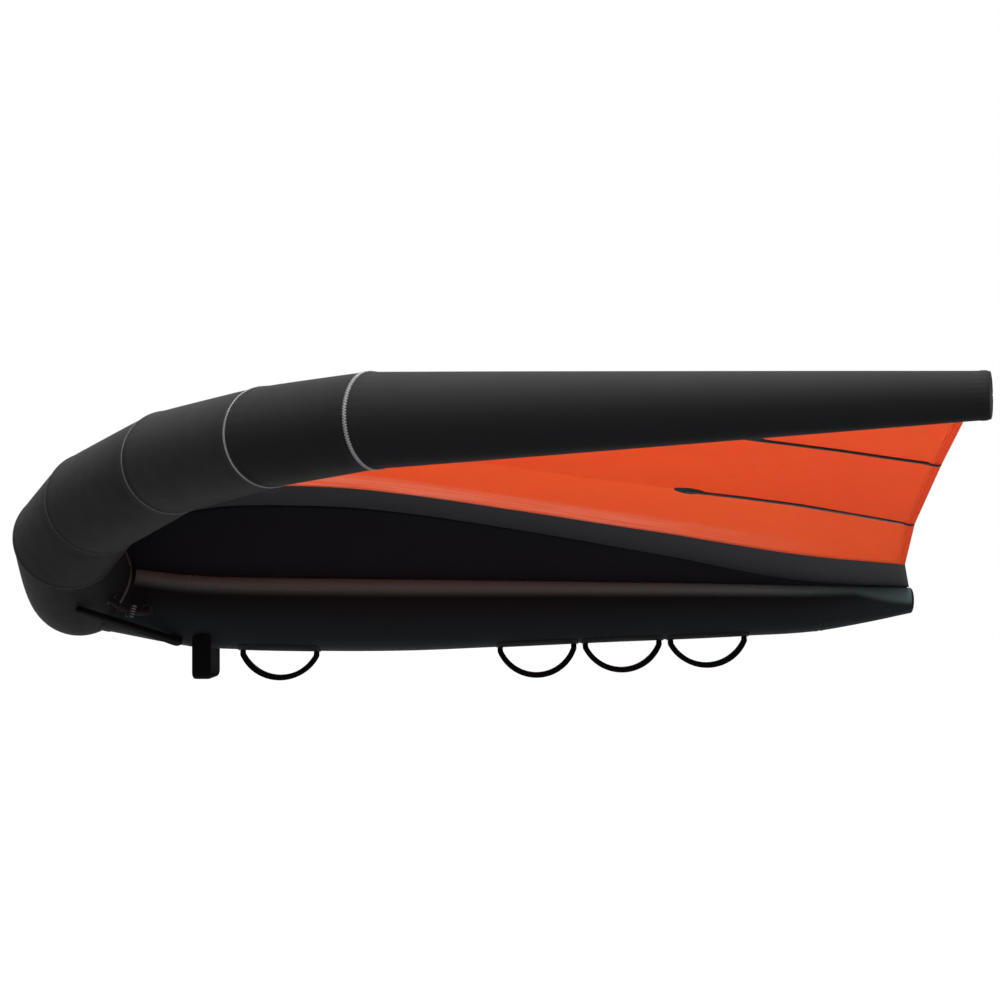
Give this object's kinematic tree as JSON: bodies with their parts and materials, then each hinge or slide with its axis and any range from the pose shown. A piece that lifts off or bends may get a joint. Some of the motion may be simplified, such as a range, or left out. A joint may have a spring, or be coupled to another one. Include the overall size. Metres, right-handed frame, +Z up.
{
  "type": "wingfoil wing",
  "caption": "Hand-held inflatable wing with a swept tube, a dihedral canopy, a centre strut with loop handles, battens, valves and an inflation hose",
  "frame": {"origin": "the middle of the grip of the second loop handle, where a rider's rear hand holds the wing", "axes": "+X runs rearward along the strut, +Y to the right tip, +Z up"},
  "size_m": [1.9047, 3.2494, 0.5322],
  "materials": {
    "batten": "flat fibre rod",
    "bladder": "translucent film",
    "canopy": "thin ripstop cloth",
    "casing": "coated woven sailcloth",
    "clip": "moulded, ribbed",
    "collar": "stitched band",
    "hem": "folded and sewn cloth",
    "hose": "soft tube",
    "patch": "sewn reinforcement",
    "plastic": "moulded",
    "pocket": "sewn cloth",
    "strip": "thin ripstop cloth",
    "strut": "coated woven sailcloth",
    "web": "woven cloth",
    "webbing": "thick webbing"
  },
  "bodies": {
    "wing": {"batten_left_inner": "batten", "batten_left_outer": "batten", "batten_pocket_left_inner": "pocket", "batten_pocket_left_outer": "pocket", "batten_pocket_right_inner": "pocket", "batten_pocket_right_outer": "pocket", "batten_right_inner": "batten", "batten_right_outer": "batten", "canopy_centre_strip": "strip", "canopy_left": "canopy", "canopy_right": "canopy", "centre_web": "web", "cross_loop_anchor_left": "patch", "cross_loop_anchor_right": "patch", "handle_patch_1": "patch", "handle_patch_2": "patch", "handle_patch_3": "patch", "handle_patch_4": "patch", "hose_clip": "clip", "hose_fitting_nose": "plastic", "hose_fitting_strut": "plastic", "inflation_valve_base": "plastic", "inflation_valve_insert": "clip", "le_bladder": "bladder", "le_panel_centre": "casing", "le_panel_left_1": "casing", "le_panel_left_2": "casing", "le_panel_left_3": "casing", "le_panel_left_4": "casing", "le_panel_left_5": "casing", "le_panel_right_1": "casing", "le_panel_right_2": "casing", "le_panel_right_3": "casing", "le_panel_right_4": "casing", "le_panel_right_5": "casing", "le_tip_cap_left": "casing", "le_tip_cap_right": "casing", "nose_strap_left": "webbing", "nose_strap_right": "webbing", "strut_bladder": "bladder", "strut_collar": "collar", "strut_panel_front": "strut", "strut_panel_main": "strut", "strut_panel_tail": "strut", "strut_tail_cap": "strut", "strut_valve_base": "plastic", "strut_valve_insert": "clip", "trailing_hem_left": "hem", "trailing_hem_right": "hem", "transfer_hose": "hose"},
    "handle_1": {"handle_1": "webbing"},
    "handle_2": {"handle_2": "webbing"},
    "handle_3": {"handle_3": "webbing"},
    "handle_4": {"handle_4": "webbing"},
    "cross_loop": {"cross_loop": "webbing"},
    "inflation_valve_cap": {"inflation_valve_cap": "plastic"},
    "strut_valve_cap": {"strut_valve_cap": "plastic"},
    "hose_clip_lever": {"hose_clip_lever": "plastic"}
  },
  "joints": [
    {"name": "handle_1_swing", "type": "hinge", "parent": "wing", "child": "handle_1", "pos_m": [-0.553, 0, 0.04351], "axis": [0.9998, 0, -0.0187], "range_deg": [-70, 70]},
    {"name": "handle_2_swing", "type": "hinge", "parent": "wing", "child": "handle_2", "pos_m": [0, 0, 0.05428], "axis": [0.9989, 0, 0.0474], "range_deg": [-70, 70]},
    {"name": "handle_3_swing", "type": "hinge", "parent": "wing", "child": "handle_3", "pos_m": [0.183, 0, 0.0627], "axis": [0.999, 0, 0.0441], "range_deg": [-70, 70]},
    {"name": "handle_4_swing", "type": "hinge", "parent": "wing", "child": "handle_4", "pos_m": [0.366, 0, 0.07103], "axis": [0.9989, 0, 0.0474], "range_deg": [-70, 70]},
    {"name": "cross_loop_swing", "type": "hinge", "parent": "wing", "child": "cross_loop", "pos_m": [-0.7115, 0, 0.07457], "axis": [0, 1, 0], "range_deg": [-35, 50]},
    {"name": "inflation_valve_cap_hinge", "type": "hinge", "parent": "wing", "child": "inflation_valve_cap", "pos_m": [-0.84608, 0.15112, 0.25009], "axis": [0.0132, -0.9999, 0], "range_deg": [0, 140]},
    {"name": "strut_valve_cap_hinge", "type": "hinge", "parent": "wing", "child": "strut_valve_cap", "pos_m": [-0.79394, 0.08509, 0.14155], "axis": [1, 0, 0], "range_deg": [0, 140]},
    {"name": "hose_clip_lever_hinge", "type": "hinge", "parent": "wing", "child": "hose_clip_lever", "pos_m": [-0.8474, -0.1414, 0.1256], "axis": [0.8056, 0.537, -0.2504], "range_deg": [0, 95]}
  ]
}
